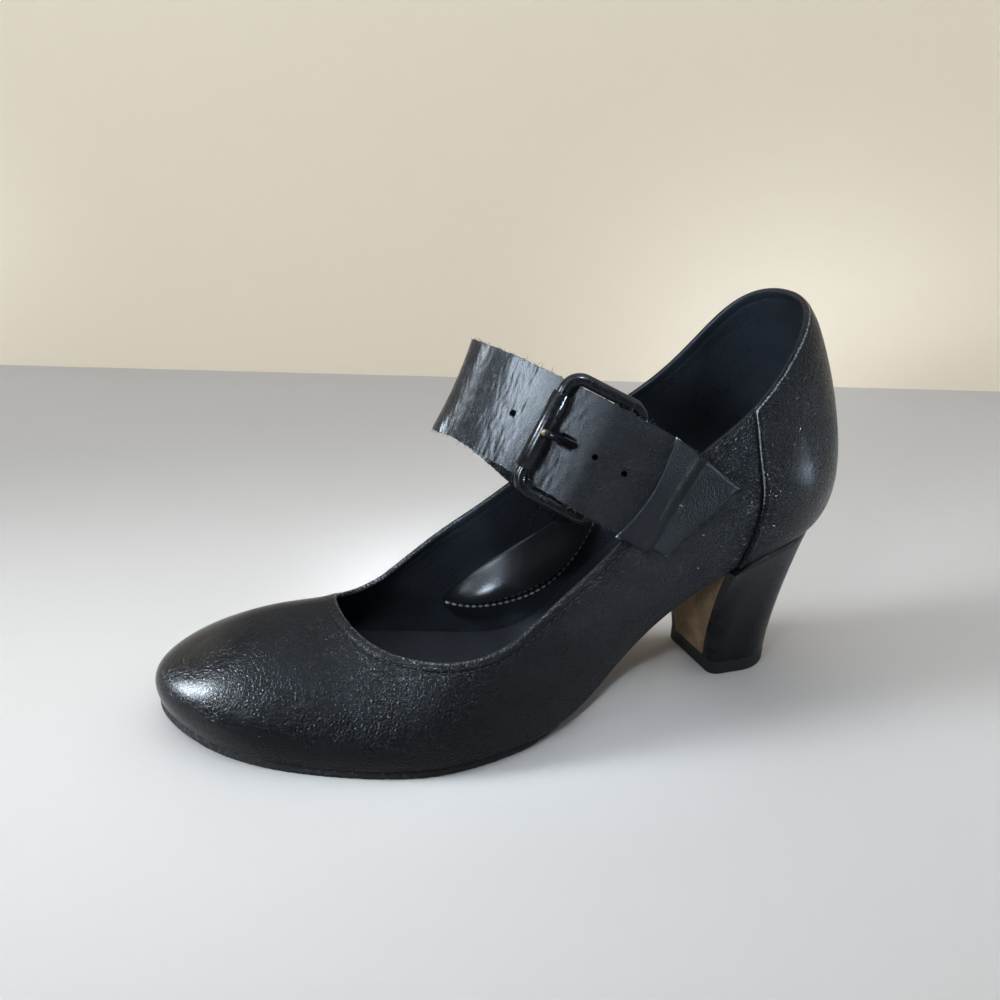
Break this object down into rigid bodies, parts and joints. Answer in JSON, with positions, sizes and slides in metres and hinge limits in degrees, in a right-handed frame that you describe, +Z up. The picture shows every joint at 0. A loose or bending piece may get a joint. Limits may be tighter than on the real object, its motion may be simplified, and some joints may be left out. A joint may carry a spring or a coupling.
{
  "type": "mary jane heel",
  "caption": "Left women's pump with a rounded toe, a block heel and a wide leather strap fastened by a roller buckle on the outer side.",
  "frame": {"origin": "on the floor, under the middle of the shoe's box", "axes": "+X to the toe, +Y to the wearer's left (the outer side), +Z up"},
  "size_m": [0.2304, 0.0838, 0.1351],
  "materials": {
    "black_leather": "pebbled black leather, worn at the edges",
    "lining": "smooth black lining",
    "heel_cover": "smooth matte black heel cover with a brown fibre breast",
    "black_rubber": "matte black rubber",
    "black_metal": "black painted metal, worn at the corners"
  },
  "bodies": {
    "root": {"upper": "black_leather", "heel_counter": "black_leather", "arch_pad": "lining", "insole": "lining", "outsole": "black_rubber", "heel": "heel_cover", "top_lift": "black_rubber", "strap": "black_leather", "strap_keeper": "black_leather", "chape": "black_leather", "buckle_frame": "black_metal", "buckle_roller": "black_metal", "buckle_prong": "black_metal"}
  },
  "joints": []
}
